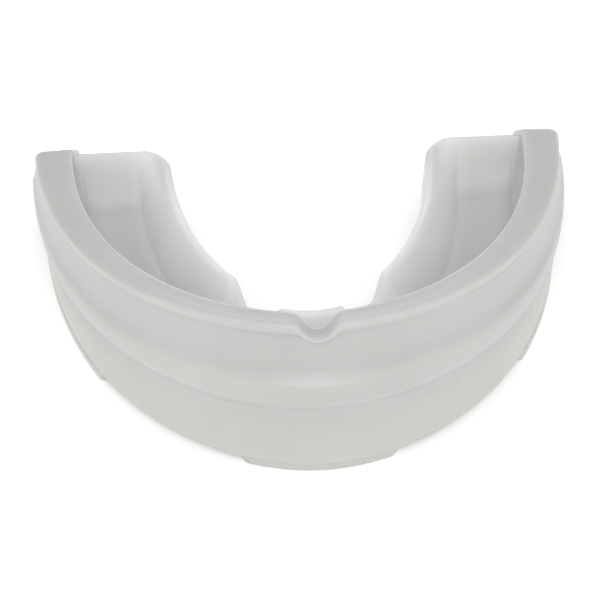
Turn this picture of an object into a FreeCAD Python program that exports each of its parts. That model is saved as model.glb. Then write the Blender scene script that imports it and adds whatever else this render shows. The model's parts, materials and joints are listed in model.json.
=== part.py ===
import FreeCAD, Part
import math
import os

# A one-piece upper mouthguard for boxing, channel up, standing on its underside pads.
# X runs to the wearer's left, Y from the lips towards the throat, Z up. Sizes in mm.

# Plan of the arch: the outline of the base, one side.
base_half_width = 30.0
arch_depth = 45.0
front_fullness = 8.9
side_fullness = 36.8
arm_flare = 3.0

# Plan of the tongue side, one side.
tongue_half_gap = 14.5
tongue_front = 16.8
tongue_fullness = 7.3
tongue_side_fullness = 18.5

# Heights.
rim_front = 19.5
rim_rear = 11.5
seam_front = 8.7
seam_rear = 6.2
height_fall = 2.4
wall_top = 10.9
floor_front = 4.6
floor_rear = 5.6
liner_under = 3.2
pad_height = 1.2

# Walls and rim.
channel_edge_front = 2.7
channel_edge_rear = 3.8
join_front = 1.15
join_rear = 1.9
tongue_wall = 3.9
tongue_crest = 1.0
end_wall = 1.2
end_cove = 3.4

# Notch for the lip frenum.
notch_half_width = 1.9
notch_depth = 2.1
bevel_half_width = 2.6
bevel_depth = 3.6
bevel_reach = 1.3

# Low front of the tongue wall, with its middle tab.
gap_half_width = 7.0
gap_floor = 7.4
tab_half_width = 3.4
tab_top = 9.3

# Rounded corners at the rear ends, in plan.
tongue_corner = 3.8
cheek_corner = 1.3

# Underside pads.
front_pad_end = 0.265
rear_pad_start = 0.655
front_pad_edge = 0.3
rear_pad_edge = -0.25

stations = 14


def bezier(p0, p1, p2, p3, t):
    """Point of a cubic curve at t."""
    s = 1.0 - t
    return tuple(
        s ** 3 * a + 3 * s * s * t * b + 3 * s * t * t * c + t ** 3 * d
        for a, b, c, d in zip(p0, p1, p2, p3)
    )


def base_point(t):
    """Base outline, from the front (0) to the rear end (1)."""
    flare = math.radians(arm_flare)
    pull = (
        base_half_width - side_fullness * math.sin(flare),
        arch_depth - side_fullness * math.cos(flare),
    )
    return bezier((0, 0), (front_fullness, 0), pull, (base_half_width, arch_depth), t)


def tongue_point(t):
    """Tongue-side outline; the slower start keeps each section square to the arch."""
    g = 0.35 * t + 0.65 * t * t
    pull = (tongue_half_gap - 0.6, arch_depth - tongue_side_fullness)
    start = (0, tongue_front)
    return bezier(start, (tongue_fullness, tongue_front), pull, (tongue_half_gap, arch_depth), g)


def fall(front, rear, t):
    """A height that stays near its front value, then drops towards the rear."""
    return front - (front - rear) * abs(t) ** height_fall


def rim(t):
    return fall(rim_front, rim_rear, t)


def seam(t):
    return fall(seam_front, seam_rear, t)


def floor(t):
    return floor_front + (floor_rear - floor_front) * t * t


def blend(front, rear, t):
    return front + (rear - front) * t * t


def place(t, inward, z, from_tongue=False):
    """Point at a distance inward of the base outline, in the section at t."""
    bx, by = base_point(abs(t))
    gx, gy = tongue_point(abs(t))
    width = math.hypot(gx - bx, gy - by)
    w = width + inward if from_tongue else inward
    x = bx + (gx - bx) * w / width
    y = by + (gy - by) * w / width
    return FreeCAD.Vector(math.copysign(x, t) if t else 0.0, y, z)


def cheek(front, rear, height):
    """Rail measured from the base outline; height is a function of t."""
    return lambda t: place(t, blend(front, rear, t), height(t))


def tongue(offset, height):
    """Rail measured from the tongue-side outline, negative towards the channel."""
    return lambda t: place(t, offset, height(t), True)


def at(z):
    return lambda t: z


def up_shell(part):
    """Height a given part of the way from the seam to the rim."""
    return lambda t: seam(t) + part * (rim(t) - seam(t))


def up_channel(part, lift=0.0):
    """Height a given part of the way from the channel floor to the rim."""
    return lambda t: floor(t) + part * (rim(t) - floor(t)) + lift


def strip(edge, other):
    """Face between two rails: a true plane where both lie level, ruled elsewhere."""
    box = edge.BoundBox
    box.add(other.BoundBox)
    if box.ZLength > 1e-4:
        return Part.makeRuledSurface(edge, other)
    ranges = zip(edge.ParameterRange, other.ParameterRange)
    ends = [Part.makeLine(edge.valueAt(p), other.valueAt(q)) for p, q in ranges]
    return Part.Face(Part.Wire(Part.__sortEdges__([edge, other] + ends)))


def skin(rails, first=-1.0, last=1.0):
    """Solid ring of strips between rails, closed by a flat face at each end."""
    count = max(6, int(round(stations * (last - first))))
    steps = [first + (last - first) * i / count for i in range(count + 1)]
    edges = []
    for rail in rails:
        curve = Part.BSplineCurve()
        curve.interpolate([rail(t) for t in steps])
        edges.append(curve.toShape())
    faces = []
    for i, edge in enumerate(edges):
        faces.append(strip(edge, edges[(i + 1) % len(edges)]))
    for t in (first, last):
        corners = [rail(t) for rail in rails]
        faces.append(Part.Face(Part.makePolygon(corners + corners[:1])))
    shell = Part.makeShell(faces)
    shell.sewShape()
    solid = Part.makeSolid(shell)
    solid.fix(1e-4, 1e-4, 1e-3)
    if solid.Volume < 0:
        solid.reverse()
    return solid


def join_rails():
    """Faces the liner shares with the shell, then with the bite plate, top to bottom."""
    with_shell = [
        cheek(join_front, join_rear, up_shell(0.965)),
        cheek(1.35, 1.7, up_shell(0.5)),
        cheek(1.3, 1.5, up_shell(0.0)),
    ]
    with_plate = [
        cheek(1.5, 1.6, lambda t: seam(t) - 2.0),
        cheek(2.2, 2.2, at(liner_under + 0.7)),
        cheek(3.4, 3.2, at(liner_under)),
        tongue(0.0, at(liner_under)),
    ]
    return with_shell, with_plate


def shell_rails():
    """Lip and cheek face: seam, full shoulder, hollow flange, then the proud rim bead."""
    outside = [
        cheek(-0.80, -0.70, up_shell(0.0)),
        cheek(-1.15, -0.95, up_shell(0.05)),
        cheek(-1.30, -1.00, up_shell(0.16)),
        cheek(-1.22, -1.00, up_shell(0.27)),
        cheek(-0.75, -0.95, up_shell(0.37)),
        cheek(-0.10, -0.80, up_shell(0.45)),
        cheek(0.30, -0.68, up_shell(0.54)),
        cheek(0.58, -0.60, up_shell(0.68)),
        cheek(0.72, -0.52, up_shell(0.86)),
        cheek(0.45, -0.62, up_shell(0.895)),
        cheek(0.42, -0.60, up_shell(0.94)),
        cheek(0.75, -0.20, up_shell(0.975)),
    ]
    return outside


def liner_rails():
    """Channel surface from the rim to the tongue side."""
    near, far = channel_edge_front, channel_edge_rear
    return [
        cheek(join_front + 0.35, join_rear + 0.4, up_shell(0.992)),
        cheek(near - 0.75, far - 0.75, up_shell(1.0)),
        cheek(near - 0.2, far - 0.2, up_shell(0.986)),
        cheek(near, far, up_shell(0.945)),
        cheek(near + 0.15, far + 0.15, up_channel(0.55)),
        cheek(near + 0.55, far + 0.5, up_channel(0.25)),
        cheek(near + 1.1, far + 1.0, up_channel(0.09)),
        cheek(near + 2.1, far + 1.9, up_channel(0.0, 0.05)),
        tongue(-tongue_wall - 0.9, up_channel(0.0, 0.05)),
        tongue(-tongue_wall, up_channel(0.0, 0.5)),
        tongue(-tongue_wall + 0.7, up_channel(0.0, 1.8)),
        tongue(-tongue_crest - 1.0, at(wall_top - 1.7)),
        tongue(-tongue_crest - 0.4, at(wall_top - 0.35)),
        tongue(-tongue_crest, at(wall_top)),
        tongue(-0.6 * tongue_crest, at(wall_top - 0.3)),
        tongue(-0.4 * tongue_crest, at(wall_top - 1.0)),
        tongue(-0.1, at(6.0)),
    ]


def x_prism(outline, y0, y1):
    """Prism along Y from an outline in X and Z."""
    points = [FreeCAD.Vector(x, y0, z) for x, z in outline]
    face = Part.Face(Part.makePolygon(points + points[:1]))
    return face.extrude(FreeCAD.Vector(0, y1 - y0, 0))


def notch_outline(half_width, depth, y):
    """Wire of a V with a rounded foot, open above the rim."""
    top = rim_front + 1.0
    widen = half_width / depth
    outline = [
        (-half_width - widen, top),
        (-half_width * 0.42, rim_front - depth * 0.80),
        (-half_width * 0.18, rim_front - depth),
        (half_width * 0.18, rim_front - depth),
        (half_width * 0.42, rim_front - depth * 0.80),
        (half_width + widen, top),
    ]
    points = [FreeCAD.Vector(x, y, z) for x, z in outline]
    return Part.makePolygon(points + points[:1])


def notch():
    """Straight V through the rim, opening to a wider bevel on the lip face."""
    through = Part.Face(notch_outline(notch_half_width, notch_depth, -3.0))
    through = through.extrude(FreeCAD.Vector(0, 9.0, 0))
    inner_y = join_front
    outer = notch_outline(bevel_half_width, bevel_depth, inner_y - bevel_reach)
    inner = notch_outline(notch_half_width, notch_depth, inner_y)
    return through.fuse(Part.makeLoft([outer, inner], True, True))


def front_gap():
    """Tool that lowers the tongue wall behind the front teeth and leaves the tab."""
    high = wall_top + 2.0
    outline = [
        (-gap_half_width - 1.6, high),
        (-gap_half_width - 0.6, wall_top - 0.4),
        (-gap_half_width, gap_floor),
        (-tab_half_width - 0.7, gap_floor),
        (-tab_half_width, tab_top),
        (tab_half_width, tab_top),
        (tab_half_width + 0.7, gap_floor),
        (gap_half_width, gap_floor),
        (gap_half_width + 0.6, wall_top - 0.4),
        (gap_half_width + 1.6, high),
    ]
    return x_prism(outline, 8.5, 24.0)


def end_walls():
    """Low wall closing each end of the channel, coved into the floor."""
    y = arch_depth
    inner = tongue_half_gap + 1.0
    outer = base_half_width - 2.4
    base = floor_rear - 0.6
    foot = y - end_wall - end_cove
    rise = wall_top - floor_rear
    outline = [
        (y, base),
        (y, wall_top),
        (y - 0.6 * end_wall, wall_top),
        (y - end_wall, wall_top - 0.08 * rise),
        (foot + 0.72 * end_cove, floor_rear + 0.62 * rise),
        (foot + 0.45 * end_cove, floor_rear + 0.28 * rise),
        (foot + 0.2 * end_cove, floor_rear + 0.08 * rise),
        (foot, floor_rear),
        (foot, base),
    ]
    points = [FreeCAD.Vector(inner, a, b) for a, b in outline]
    wall = Part.Face(Part.makePolygon(points + points[:1]))
    wall = wall.extrude(FreeCAD.Vector(outer - inner, 0, 0))
    return wall, wall.mirror(FreeCAD.Vector(0, 0, 0), FreeCAD.Vector(1, 0, 0))


def corner_tool(x, radius, side):
    """Block that rounds one upright rear corner at x; side is the way out of the arm."""
    y = arch_depth
    size = radius + 2.0
    x0 = x - radius if side > 0 else x - 2.0
    block = Part.makeBox(size, size, 40.0, FreeCAD.Vector(x0, y - radius, -5.0))
    centre = FreeCAD.Vector(x - side * radius, y - radius, -5.0)
    return block.cut(Part.makeCylinder(radius, 40.0, centre))


def rear_corners():
    tools = [
        corner_tool(tongue_half_gap, tongue_corner, -1),
        corner_tool(base_half_width + 1.0, cheek_corner, 1),
    ]
    mirrored = [t.mirror(FreeCAD.Vector(0, 0, 0), FreeCAD.Vector(1, 0, 0)) for t in tools]
    return tools + mirrored


def outer_shell():
    with_shell, _ = join_rails()
    body = skin(shell_rails() + with_shell)
    return body.cut([notch()] + rear_corners())


def fit_liner():
    with_shell, with_plate = join_rails()
    body = skin(liner_rails() + (with_shell + with_plate)[::-1])
    body = body.fuse(list(end_walls()))
    return body.cut([notch(), front_gap()] + rear_corners())


def bite_plate():
    with_shell, with_plate = join_rails()
    outside = [
        tongue(-0.15, at(2.0)),
        tongue(-1.0, at(pad_height)),
        cheek(0.55, 0.55, at(pad_height)),
        cheek(0.10, 0.10, at(1.7)),
        cheek(-0.05, -0.05, at(2.5)),
        cheek(-0.30, -0.25, lambda t: 0.5 * (2.5 + seam(t))),
        cheek(-0.62, -0.55, lambda t: seam(t) - 0.9),
        cheek(-0.70, -0.60, lambda t: seam(t) - 0.25),
        cheek(-0.50, -0.45, seam),
    ]
    body = skin(with_shell[-1:] + with_plate + outside)
    return body.cut(rear_corners())


def pad(first, last, edge):
    """Raised pad under the base; edge is how far inside the base outline it starts."""
    rails = [
        cheek(edge, edge, at(pad_height)),
        cheek(edge + 0.08, edge + 0.08, at(0.4)),
        cheek(edge + 0.5, edge + 0.5, at(0.0)),
        tongue(-2.2, at(0.0)),
        tongue(-1.5, at(0.4)),
        tongue(-1.4, at(pad_height)),
    ]
    return skin(rails, first, last).cut(rear_corners())


def one_solid(shape):
    solids = sorted(shape.Solids, key=lambda s: s.Volume)
    return solids[-1]


def main():
    nodes = {
        "outer_shell": outer_shell(),
        "fit_liner": fit_liner(),
        "bite_plate": bite_plate(),
        "front_bite_pad": pad(-front_pad_end, front_pad_end, front_pad_edge),
        "left_rear_bite_pad": pad(rear_pad_start, 1.0, rear_pad_edge),
        "right_rear_bite_pad": pad(-1.0, -rear_pad_start, rear_pad_edge),
    }
    box = FreeCAD.BoundBox()
    for shape in nodes.values():
        box.add(shape.optimalBoundingBox(True, False))
    shift = FreeCAD.Vector(0, -box.Center.y, -box.ZMin)
    os.makedirs("parts", exist_ok=True)
    for name, shape in nodes.items():
        solid = one_solid(shape)
        solid.translate(shift)
        volume = round(solid.Volume / 1000, 3)
        print(name, "solids", len(shape.Solids), "valid", solid.isValid(), "cm3", volume)
        solid.exportStep("parts/" + name + ".step")
    print("overall", round(box.XLength, 2), round(box.YLength, 2), round(box.ZLength, 2))


main()
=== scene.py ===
# %% [markdown]
# # A one-piece boxing mouthguard
#
# The guard is moulded from a milky, frosted elastomer such as EVA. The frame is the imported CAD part:
# it holds the bodies, the collision and the plain nodes that the pieces here stand in for. This
# lesson builds the looks: six moulded pieces as numpy surfaces, on or close to the CAD part's driving
# sizes, three finishes of the same elastomer, a faintly lit white floor and soft light.

# %% Load the frame
import json
import math

import bpy
import numpy as np
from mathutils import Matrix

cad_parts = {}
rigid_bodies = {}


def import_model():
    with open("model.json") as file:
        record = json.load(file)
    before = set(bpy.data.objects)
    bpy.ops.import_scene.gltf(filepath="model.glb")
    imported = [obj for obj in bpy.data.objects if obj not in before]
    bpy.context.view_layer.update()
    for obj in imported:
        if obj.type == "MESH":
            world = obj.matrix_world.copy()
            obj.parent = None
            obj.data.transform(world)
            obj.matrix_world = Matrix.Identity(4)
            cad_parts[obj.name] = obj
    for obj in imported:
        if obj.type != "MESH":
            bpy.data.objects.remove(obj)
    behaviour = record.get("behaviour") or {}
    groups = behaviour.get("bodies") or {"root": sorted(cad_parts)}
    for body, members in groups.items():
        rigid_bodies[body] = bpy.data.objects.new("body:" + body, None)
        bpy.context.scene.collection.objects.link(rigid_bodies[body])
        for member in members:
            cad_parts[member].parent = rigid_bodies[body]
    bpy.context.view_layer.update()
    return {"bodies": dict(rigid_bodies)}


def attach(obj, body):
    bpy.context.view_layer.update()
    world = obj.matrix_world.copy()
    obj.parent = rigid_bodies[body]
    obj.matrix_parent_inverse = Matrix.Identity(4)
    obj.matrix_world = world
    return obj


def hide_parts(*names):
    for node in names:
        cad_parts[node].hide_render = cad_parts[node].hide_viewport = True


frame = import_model()

# %% [markdown]
# ## The arch
#
# Everything on a mouthguard follows the dental arch, so every point is named by three numbers: how
# far round the arch it is, how far inward of the base outline, and how high. The arch could be a
# drawn curve object with a bevel, but a bevel has one fixed section, and here the section changes
# all the way from the lip to the molars. Two plan curves and one straight line between them give
# a section anywhere, with plain arithmetic.

# %% Plan sizes, in millimetres and degrees
MM = 0.001
BASE_HALF, DEPTH = 30.0, 45.0
BASE_FRONT_PULL, BASE_REAR_PULL, BASE_REAR_FLARE = 8.9, 36.8, 3.0
TONGUE_HALF, TONGUE_FRONT = 14.5, 16.8
TONGUE_FRONT_PULL, TONGUE_REAR_PULL, TONGUE_TOE_IN = 7.3, 18.5, 0.6
Y_SHIFT = 21.85  # from the lip end of the base outline to the frame's origin
print("arch mm", 2 * BASE_HALF, "wide at the rear of the base,", DEPTH, "deep")


# %% Plan curves
def cubic(points, t):
    """Cubic Bezier curve: each control point weighted by the four Bernstein terms of t."""
    s = 1.0 - t
    weights = np.stack([s**3, 3 * s * s * t, 3 * s * t * t, t**3], axis=-1)
    return weights @ np.array(points, float)


def base_plan(t):
    """Base outline of the wearer's left half, t from 0 at the front to 1 at the rear."""
    flare = math.radians(BASE_REAR_FLARE)
    pull = (BASE_HALF - BASE_REAR_PULL * math.sin(flare), DEPTH - BASE_REAR_PULL * math.cos(flare))
    return cubic([(0, 0), (BASE_FRONT_PULL, 0), pull, (BASE_HALF, DEPTH)], t)


def tongue_plan(t):
    """Tongue-side outline at 0.35 t + 0.65 t squared, so that sections stay square to the arch."""
    slowed = 0.35 * t + 0.65 * t * t
    start, fuller = (0, TONGUE_FRONT), (TONGUE_FRONT_PULL, TONGUE_FRONT)
    pull = (TONGUE_HALF - TONGUE_TOE_IN, DEPTH - TONGUE_REAR_PULL)
    return cubic([start, fuller, pull, (TONGUE_HALF, DEPTH)], slowed)


def place(t, inward, z):
    """Point = base point + inward distance along the line to the tongue point; then height z."""
    base, tongue_side = base_plan(np.abs(t)), tongue_plan(np.abs(t))
    line = tongue_side - base
    width = np.linalg.norm(line, axis=-1, keepdims=True)
    plan = base + line / width * inward[..., None]
    x = np.where(t < 0, -plan[..., 0], plan[..., 0])
    return np.stack([x, plan[..., 1] - Y_SHIFT, z], axis=-1)


def width_at(t):
    """Whole width of the section, from the base outline to the tongue-side outline."""
    return np.linalg.norm(tongue_plan(np.abs(t)) - base_plan(np.abs(t)), axis=-1)


# %% Length of the arch
T_TABLE = np.linspace(0.0, 1.0, 4001)
TRAVEL = np.linalg.norm(np.diff(base_plan(T_TABLE), axis=0), axis=1)
TRAVEL = np.concatenate([[0.0], np.cumsum(TRAVEL)])
HALF_ARCH = TRAVEL[-1]
print("half arch length mm", round(HALF_ARCH, 2))

# %% [markdown]
# ## Heights
#
# The lip wall is tall at the front, to cover the gum, and falls to the molars. The seam between the
# shell and the base, the channel floor and the rim are each a front value and a rear value with a
# smooth curve between them. The notch for the lip frenum, the low stretch of tongue wall behind the
# incisors and the closed channel ends are height functions too, so that the rounded rim follows
# them as it would in a mould. A boolean cut would leave raw edges there.

# %% Height sizes, in millimetres: (front, rear) pairs and single values
RIM, SEAM, FLOOR = (19.5, 11.6), (8.7, 6.2), (4.6, 5.6)
WALL_TOP = 10.9  # tongue wall at the sides
LOW_WALL_TOP, TAB_TOP = 7.4, 9.05  # tongue wall behind the incisors, and the tab in its middle
CREST = 1.0  # from the tongue-side outline in to the highest line of the tongue wall
UNDER, PAD = 3.2, 1.2  # underside of the liner, and underside of the plate where the pads start
NOTCH_DEPTH, NOTCH_HALF = 2.0, 1.65
print("rim mm", RIM, "seam mm", SEAM, "notch mm deep", NOTCH_DEPTH)


# %% Height functions
def fall(pair, t):
    """Front value less the drop to the rear value times |t| to the power 2.4."""
    return pair[0] - (pair[0] - pair[1]) * np.abs(t) ** 2.4


def blend(pair, t):
    """Front value plus the change to the rear value times t squared."""
    return pair[0] + (pair[1] - pair[0]) * t * t


def step(low, high, v):
    """Smooth step: 0 below low, 1 above high, 3u^2 - 2u^3 between."""
    u = np.clip((v - low) / (high - low), 0.0, 1.0)
    return u * u * (3.0 - 2.0 * u)


def notch_drop(x):
    """Notch depth times e to the power -(|x| / notch half width)^3.2: a valley with a round foot."""
    return NOTCH_DEPTH * np.exp(-((np.abs(x) / NOTCH_HALF) ** 3.2))


def tongue_crest(x):
    """Tongue wall top: low within 7 mm of the middle, full from 8.4 mm, a tab within 3.3 mm."""
    x = np.abs(x)
    side = (WALL_TOP - LOW_WALL_TOP) * step(7.0, 8.4, x)
    tab = (TAB_TOP - LOW_WALL_TOP) * (1.0 - step(3.3, 4.3, x))
    return LOW_WALL_TOP + side + tab


def end_rise(d):
    """Share of the way up to the wall top at d mm from the rear: 1 to 0.7 mm, 0 from 5.8 mm."""
    return 1.0 - step(0.7, 5.8, d) ** 0.5


print("rim at front, middle, rear", np.round(fall(RIM, np.array([0.0, 0.5, 1.0])), 2))

# %% [markdown]
# ## A section carried round the arch
#
# Each piece is one closed outline, given as rails. A rail is an inward distance and a height, both
# of which change with t. A smooth curve runs through the rails, and breaks where a corner is
# wanted. Carrying that outline round the arch makes a grid of points: one way round the section,
# the other along the arch. It could be a Blender curve with a custom bevel, but only a grid
# lets each rail follow its own path.


# %% Rails
def cheek(front, rear, z):
    """Rail at an inward distance from the base outline, front value blended to rear value."""
    return lambda t: (blend((front, rear), t), z(t))


def tongue(offset, z):
    """Rail at an offset from the tongue-side outline; negative is towards the channel."""
    return lambda t: (width_at(t) + offset, z(t))


def at(z):
    """The same height all round the arch."""
    return lambda t: z + 0.0 * t


def up_shell(part):
    """Height a given part of the way from the seam to the rim."""
    return lambda t: fall(SEAM, t) + part * (fall(RIM, t) - fall(SEAM, t))


def up_channel(part, lift=0.0):
    """Height a given part of the way from the channel floor to the rim, plus a lift."""
    return lambda t: blend(FLOOR, t) + part * (fall(RIM, t) - blend(FLOOR, t)) + lift


# %% Smooth run through rails
def smooth_run(rails, samples):
    """Catmull-Rom curve through the rails of one run, without the last rail, samples per span."""
    ahead = np.concatenate([rails[:1], rails, rails[-1:]])
    ahead[0] = 2 * rails[0] - rails[1]
    ahead[-1] = 2 * rails[-1] - rails[-2]
    u = np.linspace(0.0, 1.0, samples, endpoint=False)[:, None, None]
    a, b, c, d = ahead[:-3, None], ahead[1:-2, None], ahead[2:-1, None], ahead[3:, None]
    square, cube = 2 * a - 5 * b + 4 * c - d, 3 * b - a - 3 * c + d
    spans = 0.5 * (2 * b + (c - a) * u + square * u**2 + cube * u**3)
    return spans.reshape(-1, *rails.shape[1:])


# %% Steps along the arch
MIDDLE_STEP, EXTRA_STEP, END_STEP = 0.17, 0.40, 0.14  # mm


def arch_steps(first, last):
    """Distances and values of t along the arch: the middle step, more past 14 mm, less at the ends.

    Steps per mm are summed up along the arch, and a station goes wherever the sum has grown by one.
    """
    s = np.linspace(first, last, 4001)
    pace = 1.0 / (MIDDLE_STEP + EXTRA_STEP * step(9.5, 14.0, np.abs(s)))
    near_end = np.minimum(s - first, last - s)
    pace = np.maximum(pace, (1.0 - step(3.0, 6.0, near_end)) / END_STEP)
    sums = np.concatenate([[0.0], np.cumsum(0.5 * (pace[1:] + pace[:-1]) * np.diff(s))])
    count = int(sums[-1]) + 1
    s = np.interp(np.linspace(0.0, sums[-1], count), sums, s)
    t = np.interp(np.abs(s), TRAVEL, T_TABLE) * np.sign(s)
    return s, t


# %% Grid to mesh
SHARP_ANGLE = 38.0


def make_mesh(name, grid, glow, deep):
    """Closed skin from a grid of points (along the arch, round the section), flat at each end."""
    rows, cols = grid.shape[:2]
    index = np.arange(rows * cols).reshape(rows, cols)
    here, there = index[:-1], index[1:]
    corners = [here, np.roll(here, -1, 1), np.roll(there, -1, 1), there]
    quads = np.stack(corners, -1).reshape(-1, 4)
    faces = quads.tolist() + [index[0, ::-1].tolist(), index[-1].tolist()]
    mesh = bpy.data.meshes.new(name)
    mesh.from_pydata((grid.reshape(-1, 3) * MM).tolist(), [], faces)
    mesh.validate()
    mesh.polygons.foreach_set("use_smooth", np.ones(len(mesh.polygons), dtype=bool))
    mesh.set_sharp_from_angle(angle=math.radians(SHARP_ANGLE))
    # glow sets the scattering weight; deep carries painted light on the liner and tint on the base.
    for layer, values in (("glow", glow), ("deep", deep)):
        mesh.attributes.new(layer, "FLOAT", "POINT").data.foreach_set("value", values.ravel())
    obj = bpy.data.objects.new(name, mesh)
    bpy.context.scene.collection.objects.link(obj)
    return obj


# %% [markdown]
# ## What the mould does to a section
#
# Three changes are the same for every piece, so they are made on the whole grid at once. At the
# front, the lip wall above 15 mm sinks with the notch. At the rear, the tongue-side corner and
# the cheek-side corner turn through a quarter circle in plan. Over the last fraction of a
# millimetre the section shrinks a little, which gives the soft edge a moulding has.

# %% Notch and rear corners
NOTCH_FOOT = 15.0  # height below which nothing sinks
LIP_WALL = 8.0  # only what is nearer than this to the base outline sinks
TONGUE_CORNER, CHEEK_CORNER = 3.8, 1.3
EDGE_PLAN, EDGE_HEIGHT = 0.35, 0.4  # soft edge of the rear end face, in plan and in height
EDGE_LEVEL, EDGE_SPAN = 6.0, 7.0  # the height it shrinks towards, and the span it is a share of


def quarter(d, radius):
    """How far a quarter circle of this radius has turned in, at distance d from the end."""
    inside = np.clip(radius - d, 0.0, radius)
    return radius - np.sqrt(np.maximum(radius**2 - inside**2, 0.0))


def mould(t, s, w, z):
    """Applies notch, corners and soft edge to section coordinates w (inward) and z (height).

    The notch drop is taken times the 1.5th power of the share of the way from its foot to the rim.
    """
    plan_x = place(t, w, z)[..., 0]
    share = np.clip((z - NOTCH_FOOT) / (fall(RIM, t) - NOTCH_FOOT), 0.0, None)
    front = (np.abs(s) < 12.0) & (w < LIP_WALL)
    z = np.where(front, z - share**1.5 * notch_drop(plan_x), z)
    d = HALF_ARCH - np.abs(s)
    middle = 0.55 * width_at(t)
    tongue_in = (quarter(d, TONGUE_CORNER) + quarter(d, EDGE_PLAN)) / (width_at(t) - middle)
    cheek_in = (quarter(d, CHEEK_CORNER) + quarter(d, EDGE_PLAN)) / (middle + 1.0)
    w = middle + (w - middle) * (1 - np.where(w > middle, tongue_in, cheek_in))
    z = EDGE_LEVEL + (z - EDGE_LEVEL) * (1 - quarter(d, EDGE_HEIGHT) / EDGE_SPAN)
    return w, z


# %% Carry a section round the arch
GLOW_REACH = 1.5  # mm from a joint to full scattering
SKIN = 1.2  # mm inward of the base outline: outside this is the outer skin


def painted_light_and_tint_share(t, s, w, z):
    """Share of the second shade at a point: 0 near the rim and near the seam. On the liner this is painted
    light, on the base the base's own tint.

    In the channel it rises to 0.35 between 0.3 and 4 mm below the rim, to 1 on the tongue wall, and
    loses up to 0.7 of that at the closed ends. This is painted light, strongest on the shaded tongue wall
    and weakest on the end walls, which face the front lamp. On the outer skin it rises to 1 between
    0.6 and 3.6 mm below the seam, where the base turns a touch yellow-green.
    """
    # Painted light in the channel: the shaded floor is lightened, and the shaded tongue wall most.
    tongue_wall = step(-6.0, -3.5, w - width_at(t))
    channel = step(0.3, 4.0, fall(RIM, t) - z) * (w > SKIN) * (0.35 + 0.65 * tongue_wall)
    # Less painted light on the closed end walls, which the front lamp already lights.
    channel = channel * (1.0 - 0.7 * end_rise(HALF_ARCH - np.abs(s)))
    # On the outer skin below the seam: the base's own yellow-green tint.
    base = step(0.6, 3.6, fall(SEAM, t) - z) * (w < SKIN)
    return np.maximum(channel, base)


def carry(name, runs, joints, first=-HALF_ARCH, last=HALF_ARCH, reshape=None):
    """Grid = runs of rails, smoothed round the section, at each step along the arch.

    Each point also gets two numbers for its finish: deep, the share of painted light on the liner and
    of tint on the base, as above, and glow, a smooth step from 0 at the nearest joint rail to 1 at
    GLOW_REACH from it.
    """
    s, t = arch_steps(first, last)
    section = []
    for rails, samples in runs:
        points = np.stack([np.stack(rail(t), axis=-1) for rail in rails])
        section.append(smooth_run(points, samples) if samples > 1 else points[:-1])
    section = np.concatenate(section)
    w, z = section[..., 0].T, section[..., 1].T
    t2, s2 = t[:, None] + 0 * w, s[:, None] + 0 * w
    away = np.min([np.hypot(w - joint(t2)[0], z - joint(t2)[1]) for joint in joints], axis=0)
    glow = step(0.0, GLOW_REACH, away)
    # deep: share of painted light in the liner's channel and of the base's own tint.
    deep = painted_light_and_tint_share(t2, s2, w, z)
    if reshape:
        w, z = reshape(t2, s2, w, z)
    w, z = mould(t2, s2, w, z)
    obj = make_mesh(name, place(t2, w, z), glow, deep)
    print(name, "stations", len(t), "points round", w.shape[1], "faces", len(obj.data.polygons))
    return obj


# %% [markdown]
# ## Outer shell
#
# The shell is what the lips and cheeks touch. From the seam up it swells to a full shoulder, goes
# hollow towards the gum, and ends in a bead along the rim. It could be the CAD node with a bevel
# modifier, but a bevel rounds only edges, and the whole face is curved. Beside the notch the face
# leans in by a quarter of a millimetre, as a moulded notch has a soft bevel for the frenum.

# %% Rails of the shell: mm inward of the base outline at the front and rear, share from seam to rim
JOIN = [  # where shell and liner meet, from the rim down to the seam
    cheek(1.15, 1.9, up_shell(0.986)),
    cheek(1.35, 1.7, up_shell(0.5)),
    cheek(1.3, 1.5, up_shell(0.0)),
]
SHOULDER = [
    (-0.16, -0.16, 0.0),
    (-0.44, -0.38, 0.045),
    (-0.92, -0.80, 0.115),
    (-1.24, -1.02, 0.205),
    (-1.33, -1.08, 0.31),
    (-1.22, -1.04, 0.365),
    (-0.90, -0.97, 0.405),
]
HOLLOW = [
    (-0.40, -0.88, 0.445),
    (0.02, -0.80, 0.50),
    (0.30, -0.72, 0.57),
    (0.50, -0.64, 0.66),
    (0.62, -0.58, 0.76),
    (0.68, -0.52, 0.86),
]
BEAD = [
    (0.58, -0.56, 0.895),
    (0.56, -0.52, 0.935),
    (0.66, -0.30, 0.963),
    (0.86, 0.30, 0.979),
    (1.02, 1.10, 0.985),
]
face = [cheek(front, rear, up_shell(part)) for front, rear, part in SHOULDER + HOLLOW + BEAD]
face.append(JOIN[0])
print("shell rails", len(face))

# %% Outer shell
BEVEL = 0.25


def bevel_notch(t, s, w, z):
    """Moves the outer face inward beside the notch, most at the rim and none 3 mm below it."""
    x = place(t, w, z)[..., 0]
    level = step(-3.0, 0.2, z - fall(RIM, t))
    side = 1.0 - step(0.2, 3.2, np.abs(x))
    outer = 1.0 - step(0.7, 1.15, w)
    return w + BEVEL * level * side * outer * (np.abs(s) < 8.0), z


shell_runs = [(face, 6), (JOIN, 3), ([JOIN[-1], face[0]], 1)]
shell = carry("moulded_shell", shell_runs, [JOIN[0], face[0]], reshape=bevel_notch)

# %% [markdown]
# ## Fit liner
#
# The liner is taken to be the softer part, which meets the teeth. It lines the lip wall, makes the
# channel floor and stands up as the tongue wall. Its rim is the rounded inner lip of the guard. The
# channel is closed at each end by a low coved wall, and the tongue wall drops behind the incisors,
# leaving a tab. The whole profile is one run of rails, because it has no corner from rim to crest.

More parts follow.
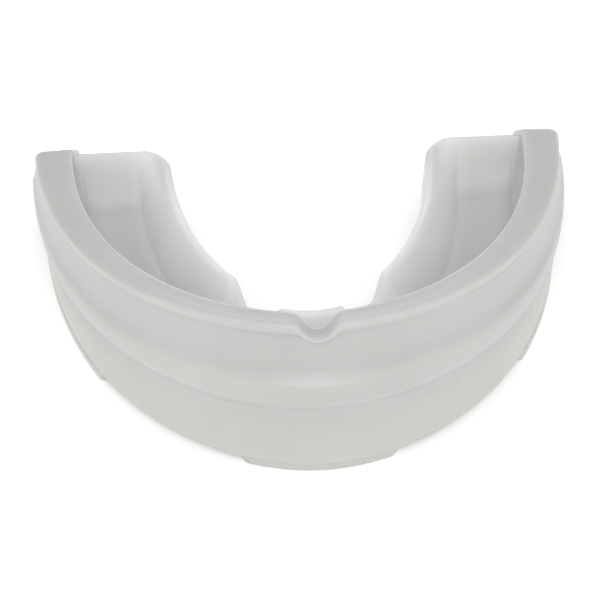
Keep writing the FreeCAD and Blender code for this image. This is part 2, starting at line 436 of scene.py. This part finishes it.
# %% Rails of the liner
channel = [
    JOIN[0],
    cheek(1.32, 2.2, up_shell(0.992)),
    cheek(1.55, 2.55, up_shell(0.997)),
    cheek(1.95, 3.05, up_shell(1.0)),
    cheek(2.5, 3.6, up_shell(0.986)),
    cheek(2.7, 3.8, up_shell(0.945)),
    cheek(2.85, 3.95, up_channel(0.55)),
    cheek(3.25, 4.3, up_channel(0.25)),
    cheek(3.8, 4.8, up_channel(0.09)),
    cheek(4.8, 5.7, up_channel(0.0, 0.05)),
    tongue(-4.8, up_channel(0.0, 0.05)),
    tongue(-3.9, up_channel(0.0, 0.5)),
    tongue(-3.2, up_channel(0.0, 1.8)),
    tongue(-2.0, at(WALL_TOP - 1.7)),
    tongue(-1.4, at(WALL_TOP - 0.35)),
    tongue(-CREST, at(WALL_TOP)),
    tongue(-0.6, at(WALL_TOP - 0.3)),
    tongue(-0.4, at(WALL_TOP - 1.0)),
    tongue(-0.1, at(6.0)),
    tongue(0.0, at(UNDER)),
]
UNDERSIDE = [  # where liner and plate meet, from the tongue side to the seam
    tongue(0.0, at(UNDER)),
    cheek(3.4, 3.2, at(UNDER)),
    cheek(2.2, 2.2, at(UNDER + 0.7)),
    cheek(1.5, 1.6, lambda t: fall(SEAM, t) - 2.0),
    JOIN[-1],
]
print("liner rails", len(channel) + len(UNDERSIDE))

# %% Fit liner
SQUEEZE_DEPTH = 0.2  # mm under the floor where the tongue wall's squeeze starts


def shape_channel(t, s, w, z):
    """Squeezes the tongue wall to its crest height, then raises the floor into the end walls.

    A wall height is scaled by crest height over full height, all measured from where the squeeze
    starts. The end walls add the end rise times what is left up to the wall top.
    """
    width = width_at(t)
    floor = blend(FLOOR, t)
    foot = floor - SQUEEZE_DEPTH
    crest_x = place(t, width - CREST, z)[..., 0]
    low = foot + (z - foot) * (tongue_crest(crest_x) - foot) / (WALL_TOP - foot)
    on_wall = (w > width - 5.0) & (z > floor) & (w > 7.0)
    z = np.where(on_wall, low, z)
    rise = end_rise(HALF_ARCH - np.abs(s)) * np.clip(WALL_TOP - z, 0.0, None)
    in_channel = (w > 3.0) & (w < width - CREST) & (z > UNDER + 0.5)
    return w, np.where(in_channel, z + rise, z)


liner_runs = [(channel, 6), (UNDERSIDE, 3), (JOIN[::-1], 3)]
liner = carry("bite_lining", liner_runs, [JOIN[0], channel[-1]], reshape=shape_channel)

# %% [markdown]
# ## Bite plate and pads
#
# The base is taken to be the firmer part, which spreads a blow over all the teeth. It shows below
# the seam as a band that narrows a little towards the table at the front. Under it are a front pad
# and two rear pads, which the guard stands on. They could be one mesh with the plate, but the real
# steps between them catch the light, and separate closed pieces keep those edges crisp.

# %% Bite plate
band = [
    tongue(0.0, at(UNDER)),
    tongue(-0.04, at(2.5)),
    tongue(-0.25, at(1.7)),
    tongue(-1.0, at(PAD)),
]
outside = [
    cheek(0.12, -0.30, at(PAD)),
    cheek(0.02, -0.34, at(1.5)),
    cheek(-0.20, -0.36, at(2.3)),
    cheek(-0.34, -0.38, at(3.3)),
    cheek(-0.34, -0.38, lambda t: 0.45 * 3.3 + 0.55 * (fall(SEAM, t) - 1.4)),
    cheek(-0.26, -0.30, lambda t: fall(SEAM, t) - 1.7),
    cheek(-0.12, -0.16, lambda t: fall(SEAM, t) - 0.9),
    cheek(-0.07, -0.10, lambda t: fall(SEAM, t) - 0.4),
    cheek(-0.14, -0.14, lambda t: fall(SEAM, t)),
]
plate_runs = [
    (band, 4),
    ([band[-1], outside[0]], 1),
    (outside, 6),
    ([outside[-1], JOIN[-1]], 1),
    (UNDERSIDE[::-1], 3),
]
plate = carry("firm_base", plate_runs, [outside[-1], outside[0], band[0], band[-1]])

# %% Pads
FRONT_PAD_HALF = 9.15  # mm along the arch, each way from the middle
REAR_PAD_START = float(np.interp(0.655, T_TABLE, TRAVEL))
FRONT_EDGE, REAR_EDGE = 0.3, -0.02  # mm inward of the base outline, at the front of the arch
FRONT_TURN, REAR_TURN = 1.6, 0.8  # corner radii in plan


def pad(name, first, last, edge, turn):
    """Low raised strip from first to last along the arch, its free corners turned in plan."""
    lip = [
        tongue(-1.4, at(PAD)),
        tongue(-1.5, at(0.5)),
        tongue(-1.8, at(0.1)),
        tongue(-2.3, at(0.0)),
    ]
    toe = [
        cheek(edge + 0.30, 0.0, at(0.0)),
        cheek(edge + 0.10, -0.20, at(0.06)),
        cheek(edge + 0.02, -0.28, at(0.3)),
        cheek(edge, -0.30, at(PAD)),
    ]

    def turn_corners(t, s, w, z):
        """Quarter circles in plan at each end that isn't the rear of the guard.

        Over the last 0.4 mm there the strip also loses up to a quarter of its height.
        """
        from_first = np.where(first > -HALF_ARCH, s - first, 99.0)
        from_last = np.where(last < HALF_ARCH, last - s, 99.0)
        free = np.minimum(from_first, from_last)
        middle = 0.5 * width_at(t)
        turned = middle + (w - middle) * (1 - quarter(free, turn) / middle)
        sunk = z + (PAD - z) * 0.25 * (1.0 - step(0.0, 0.4, free))
        return turned, sunk

    rails = [(lip, 4), ([lip[-1], toe[0]], 1), (toe, 4), ([toe[-1], lip[0]], 1)]
    return carry(name, rails, [toe[-1], lip[0]], first, last, turn_corners)


front_pad = pad("front_foot", -FRONT_PAD_HALF, FRONT_PAD_HALF, FRONT_EDGE, FRONT_TURN)
left_pad = pad("left_foot", REAR_PAD_START, HALF_ARCH, REAR_EDGE, REAR_TURN)
right_pad = pad("right_foot", -HALF_ARCH, -REAR_PAD_START, REAR_EDGE, REAR_TURN)

# %% [markdown]
# ## Milky elastomer
#
# Real name: ethylene vinyl acetate, injection moulded in a blasted steel mould. It is nearly clear
# in itself, but filler and a frosted skin scatter light inside it, so it looks like thin milk, with
# soft shadows. Glass-like transmission would show the far side too plainly. Subsurface scattering
# gives the inner glow, and a fine bump gives the blasted skin. The shell is near neutral. The liner
# is a touch cooler, and down in the channel its colour is painted lighter, as painted light for what
# the milky walls pass between them. The base turns a touch yellow-green towards its lower edge.


# %% Node helper and colour
def linear(hex_colour):
    """sRGB hex to linear: values over 0.04045 are ((c + 0.055) / 1.055) to the power 2.4."""
    c = np.array([int(hex_colour[i : i + 2], 16) for i in (1, 3, 5)]) / 255.0
    flat = np.where(c <= 0.04045, c / 12.92, ((c + 0.055) / 1.055) ** 2.4)
    return (*[float(v) for v in flat], 1.0)


def add_node(tree, kind, settings=None, links=None):
    """Adds a node; settings go to its fields or inputs, links join its inputs to outputs."""
    node = tree.nodes.new(kind)
    for key, value in (settings or {}).items():
        if isinstance(key, str) and hasattr(node, key):
            setattr(node, key, value)
        else:
            node.inputs[key].default_value = value
    for key, socket in (links or {}).items():
        tree.links.new(socket, node.inputs[key])
    return node


print("linear value of mid grey", round(linear("#808080")[0], 3))

# %% Pattern sizes, in millimetres
CLOUD, SPECK_SPACING, PEEL = 9.09, 8.264, 2.083
GRAIN = 0.2632  # a blasted mould's own grain is finer; this is as fine as still shows
FULL_SCATTER = 0.85
ELASTOMER_IOR = 1.49


def per_metre(size_mm):
    """Pattern scale for Object coordinates in metres: 1000 divided by the size in millimetres."""
    return 1000.0 / size_mm


# %% Milky elastomer
def milky_elastomer(name, plain, painted_light_and_tint_shade, depth_mm, roughness):
    """Frosted, scattering elastomer: shade plain where deep is 0, the second shade where it is 1.

    The second shade is painted light on the liner and the base's own tint on the base.
    """
    material = bpy.data.materials.new(name)
    material.use_nodes = True
    tree = material.node_tree
    tree.nodes.clear()
    here = add_node(tree, "ShaderNodeTexCoord").outputs["Object"]
    # Milky walls that face each other pass light between them. Scattering can't cross from piece to
    # piece, so a lighter body colour in the channel stands in for that light.
    # On the base the same mix is its own yellow-green tint, not light.
    deep = add_node(tree, "ShaderNodeAttribute", {"attribute_name": "deep"})
    body = add_node(
        tree,
        "ShaderNodeMix",
        {"data_type": "RGBA", 6: linear(plain), 7: linear(painted_light_and_tint_shade)},
        {0: deep.outputs["Fac"]},
    )
    # Filler is never stirred quite evenly: clouds about 9 mm across darken the shade by up to 3%.
    cloud = add_node(
        tree,
        "ShaderNodeTexNoise",
        {"Scale": per_metre(CLOUD), "Detail": 3.0, "Roughness": 0.55},
        {"Vector": here},
    )
    spread = add_node(
        tree,
        "ShaderNodeMapRange",
        {"From Min": 0.35, "From Max": 0.65, "To Min": 0.97, "To Max": 1.0},
        {"Value": cloud.outputs["Fac"]},
    )
    clouded = add_node(
        tree,
        "ShaderNodeVectorMath",
        {"operation": "MULTIPLY"},
        {0: body.outputs[2], 1: spread.outputs["Result"]},
    )
    # Specks of dust and filler: one in each cell, about 0.5 mm across and faded out at 1 mm, and it
    # shows only where the surface happens to pass through it.
    cells = add_node(tree, "ShaderNodeTexVoronoi", {"Scale": per_metre(SPECK_SPACING)}, {"Vector": here})
    speck = add_node(
        tree,
        "ShaderNodeMapRange",
        {"From Min": 0.03, "From Max": 0.06, "To Min": 0.86, "To Max": 1.0},
        {"Value": cells.outputs["Distance"]},
    )
    shade = add_node(
        tree,
        "ShaderNodeVectorMath",
        {"operation": "MULTIPLY"},
        {0: clouded.outputs["Vector"], 1: speck.outputs["Result"]},
    )
    # Scattered light goes dark at the faces where two pieces meet, so scattering fades out there.
    glow = add_node(tree, "ShaderNodeAttribute", {"attribute_name": "glow"})
    scatter = add_node(
        tree,
        "ShaderNodeMath",
        {"operation": "MULTIPLY", 1: FULL_SCATTER},
        {0: glow.outputs["Fac"]},
    )
    # The blasted skin is a fine grain over a slight orange peel with waves of about 2 mm.
    grain = add_node(tree, "ShaderNodeTexNoise", {"Scale": per_metre(GRAIN), "Detail": 2.0}, {"Vector": here})
    peel = add_node(tree, "ShaderNodeTexNoise", {"Scale": per_metre(PEEL), "Detail": 2.0}, {"Vector": here})
    fine_bump = add_node(
        tree,
        "ShaderNodeBump",
        {"Strength": 0.22, "Distance": 0.06 * MM},
        {"Height": grain.outputs["Fac"]},
    )
    soft_bump = add_node(
        tree,
        "ShaderNodeBump",
        {"Strength": 0.25, "Distance": 0.10 * MM},
        {"Height": peel.outputs["Fac"], "Normal": fine_bump.outputs["Normal"]},
    )
    # Handling polishes the frosting unevenly, so the gloss varies with the same clouds.
    gloss = add_node(
        tree,
        "ShaderNodeMapRange",
        {"From Min": 0.3, "From Max": 0.7, "To Min": roughness - 0.05, "To Max": roughness + 0.05},
        {"Value": cloud.outputs["Fac"]},
    )
    skin = add_node(
        tree,
        "ShaderNodeBsdfPrincipled",
        {
            "IOR": ELASTOMER_IOR,
            "Subsurface Radius": (1.0, 0.96, 0.92),
            "Subsurface Scale": depth_mm * MM,
        },
        {
            "Base Color": shade.outputs["Vector"],
            "Subsurface Weight": scatter.outputs["Value"],
            "Roughness": gloss.outputs["Result"],
            "Normal": soft_bump.outputs["Normal"],
        },
    )
    add_node(tree, "ShaderNodeOutputMaterial", None, {"Surface": skin.outputs["BSDF"]})
    return material


# %% Finishes on the pieces
# Second shades: the liner's lighter #D9DAD9 is painted light in the channel; the base's #C1C2BD is its own
# tint.
shell_finish = milky_elastomer("frosted_eva_neutral", "#BFBFBD", "#BFBFBD", 1.3, 0.40)
liner_finish = milky_elastomer("frosted_eva_cool_painted_channel_light", "#BFBFBE", "#D9DAD9", 4.5, 0.46)
base_finish = milky_elastomer("milky_eva_warm", "#BFBFBD", "#C1C2BD", 1.6, 0.42)

for obj, finish, slot, node in [
    (shell, shell_finish, "clear_shell", "outer_shell"),
    (liner, liner_finish, "soft_liner", "fit_liner"),
    (plate, base_finish, "milky_base", "bite_plate"),
    (front_pad, base_finish, "milky_base", "front_bite_pad"),
    (left_pad, base_finish, "milky_base", "left_rear_bite_pad"),
    (right_pad, base_finish, "milky_base", "right_rear_bite_pad"),
]:
    obj.data.materials.append(finish)
    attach(obj, next(iter(frame["bodies"])))
    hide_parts(node)
    print(obj.name, "takes the place of", node)

# %% [markdown]
# ## Floor, light and camera
#
# A white object on white needs light that still shows its form. A large softbox in front, 48 degrees
# up, makes the shoulder bright. A weak one overhead and one on each side fill the rim and the arms,
# and a pale sky fills the rest. The floor is a white acrylic sheet that glows faintly, as a product
# table lit from below does, so the contact shadow stays weak. The camera looks down at 38 degrees
# through a long lens, which keeps near and far parts at nearly the same scale.

# %% Floor
bpy.ops.mesh.primitive_plane_add(size=6.0, location=(0, 0, 0))
ground = bpy.context.object
ground.name = "studio_floor"
sheet = bpy.data.materials.new("backlit_white_acrylic")
sheet.use_nodes = True
surface = sheet.node_tree.nodes["Principled BSDF"].inputs
surface["Base Color"].default_value = linear("#F7F7F7")
surface["Roughness"].default_value = 0.9
surface["Emission Color"].default_value = (1, 1, 1, 1)
surface["Emission Strength"].default_value = 0.18
ground.data.materials.append(sheet)
print("floor", ground.name, "of", sheet.name)


# %% Lights
def soft_lamp(name, place_at, aim, size, power):
    """Square area lamp, turned so that its own -Z runs from where it is placed to its aim."""
    data = bpy.data.lights.new(name, "AREA")
    data.size = size
    data.energy = power
    lamp = bpy.data.objects.new(name, data)
    bpy.context.scene.collection.objects.link(lamp)
    lamp.location = place_at
    way = np.array(aim) - np.array(place_at)
    tilt = math.atan2(math.hypot(way[0], way[1]), -way[2])
    lamp.rotation_euler = (tilt, 0.0, math.atan2(way[0], -way[1]) + math.pi)
    return lamp


lamps = [
    soft_lamp("front_softbox", (0.0, -0.52, 0.58), (0, 0, 0), 0.35, 2.25),
    soft_lamp("overhead_softbox", (0.0, -0.05, 0.75), (0, 0, 0), 0.45, 0.5),
    soft_lamp("left_softbox", (-0.55, -0.12, 0.42), (0, 0, 0.01), 0.45, 1.15),
    soft_lamp("right_softbox", (0.55, -0.12, 0.42), (0, 0, 0.01), 0.45, 1.05),
]
world = bpy.data.worlds.new("pale_sky")
world.use_nodes = True
world.node_tree.nodes["Background"].inputs["Color"].default_value = (1, 1, 1, 1)
world.node_tree.nodes["Background"].inputs["Strength"].default_value = 0.49
bpy.context.scene.world = world
print("lamps", [lamp.name for lamp in lamps])

# %% Camera
ELEVATION, AZIMUTH, ROLL = 38.0, -2.5, -1.15  # degrees
DISTANCE = 0.260
AIM = np.array([0.0, 0.00065, 0.008])
FOCAL_LENGTH, SENSOR_WIDTH = 141.66, 36.0  # mm
SHIFT = (-0.013583, -0.0316)  # shares of the picture's width
e, a = math.radians(ELEVATION), math.radians(AZIMUTH)
back = np.array([math.sin(a) * math.cos(e), -math.cos(a) * math.cos(e), math.sin(e)])
lens = bpy.data.cameras.new("camera")
lens.sensor_width = SENSOR_WIDTH
lens.lens = FOCAL_LENGTH
lens.shift_x, lens.shift_y = SHIFT
lens.clip_start = 0.01
camera = bpy.data.objects.new("camera", lens)
bpy.context.scene.collection.objects.link(camera)
camera.location = AIM + back * DISTANCE
camera.rotation_euler = (math.radians(90.0 - ELEVATION), 0.0, math.radians(AZIMUTH))
camera.rotation_euler.rotate_axis("Z", math.radians(ROLL))
bpy.context.scene.camera = camera
bpy.context.scene.view_settings.view_transform = "Standard"
print("camera at", np.round(camera.location, 3))
